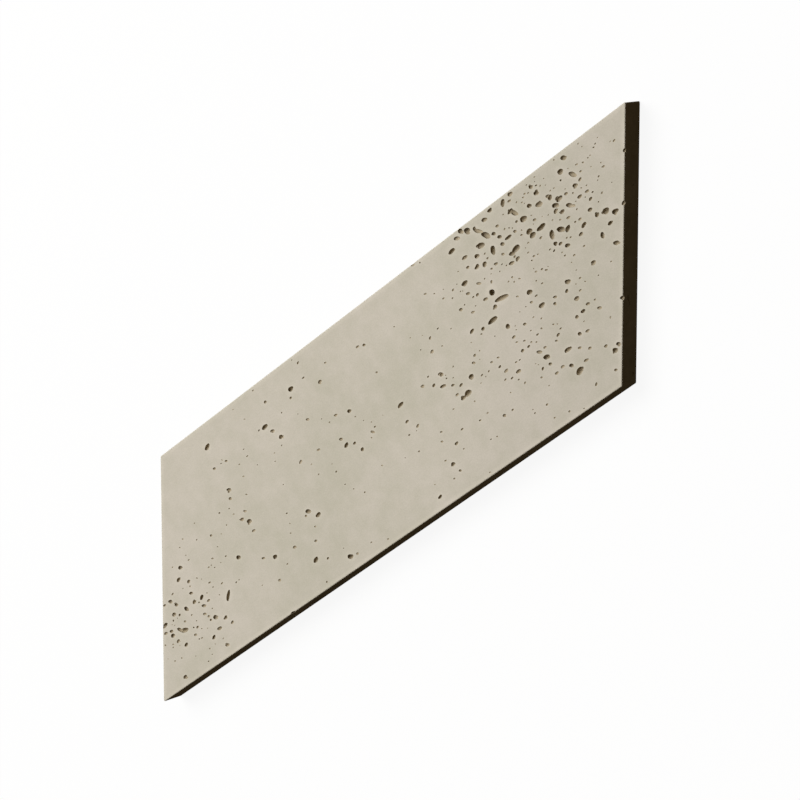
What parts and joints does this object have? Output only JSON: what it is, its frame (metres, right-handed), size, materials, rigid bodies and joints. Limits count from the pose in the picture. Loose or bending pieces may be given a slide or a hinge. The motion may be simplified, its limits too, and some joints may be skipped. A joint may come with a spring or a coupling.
{
  "type": "concrete wall panel",
  "caption": "Flat parallelogram concrete panel with slanted ends, a pale face pitted with air voids and a plain back, glued to a wall in chevron courses.",
  "frame": {"origin": "middle of the flat back, which is glued to the wall", "axes": "+X along the long edges, +Y square across them, +Z out of the cast face"},
  "size_m": [0.6102, 0.16, 0.02],
  "materials": {
    "concrete": "matte ivory fine concrete, smooth from the mould, with open air voids"
  },
  "bodies": {
    "root": {"chevron_panel": "concrete"}
  },
  "joints": []
}
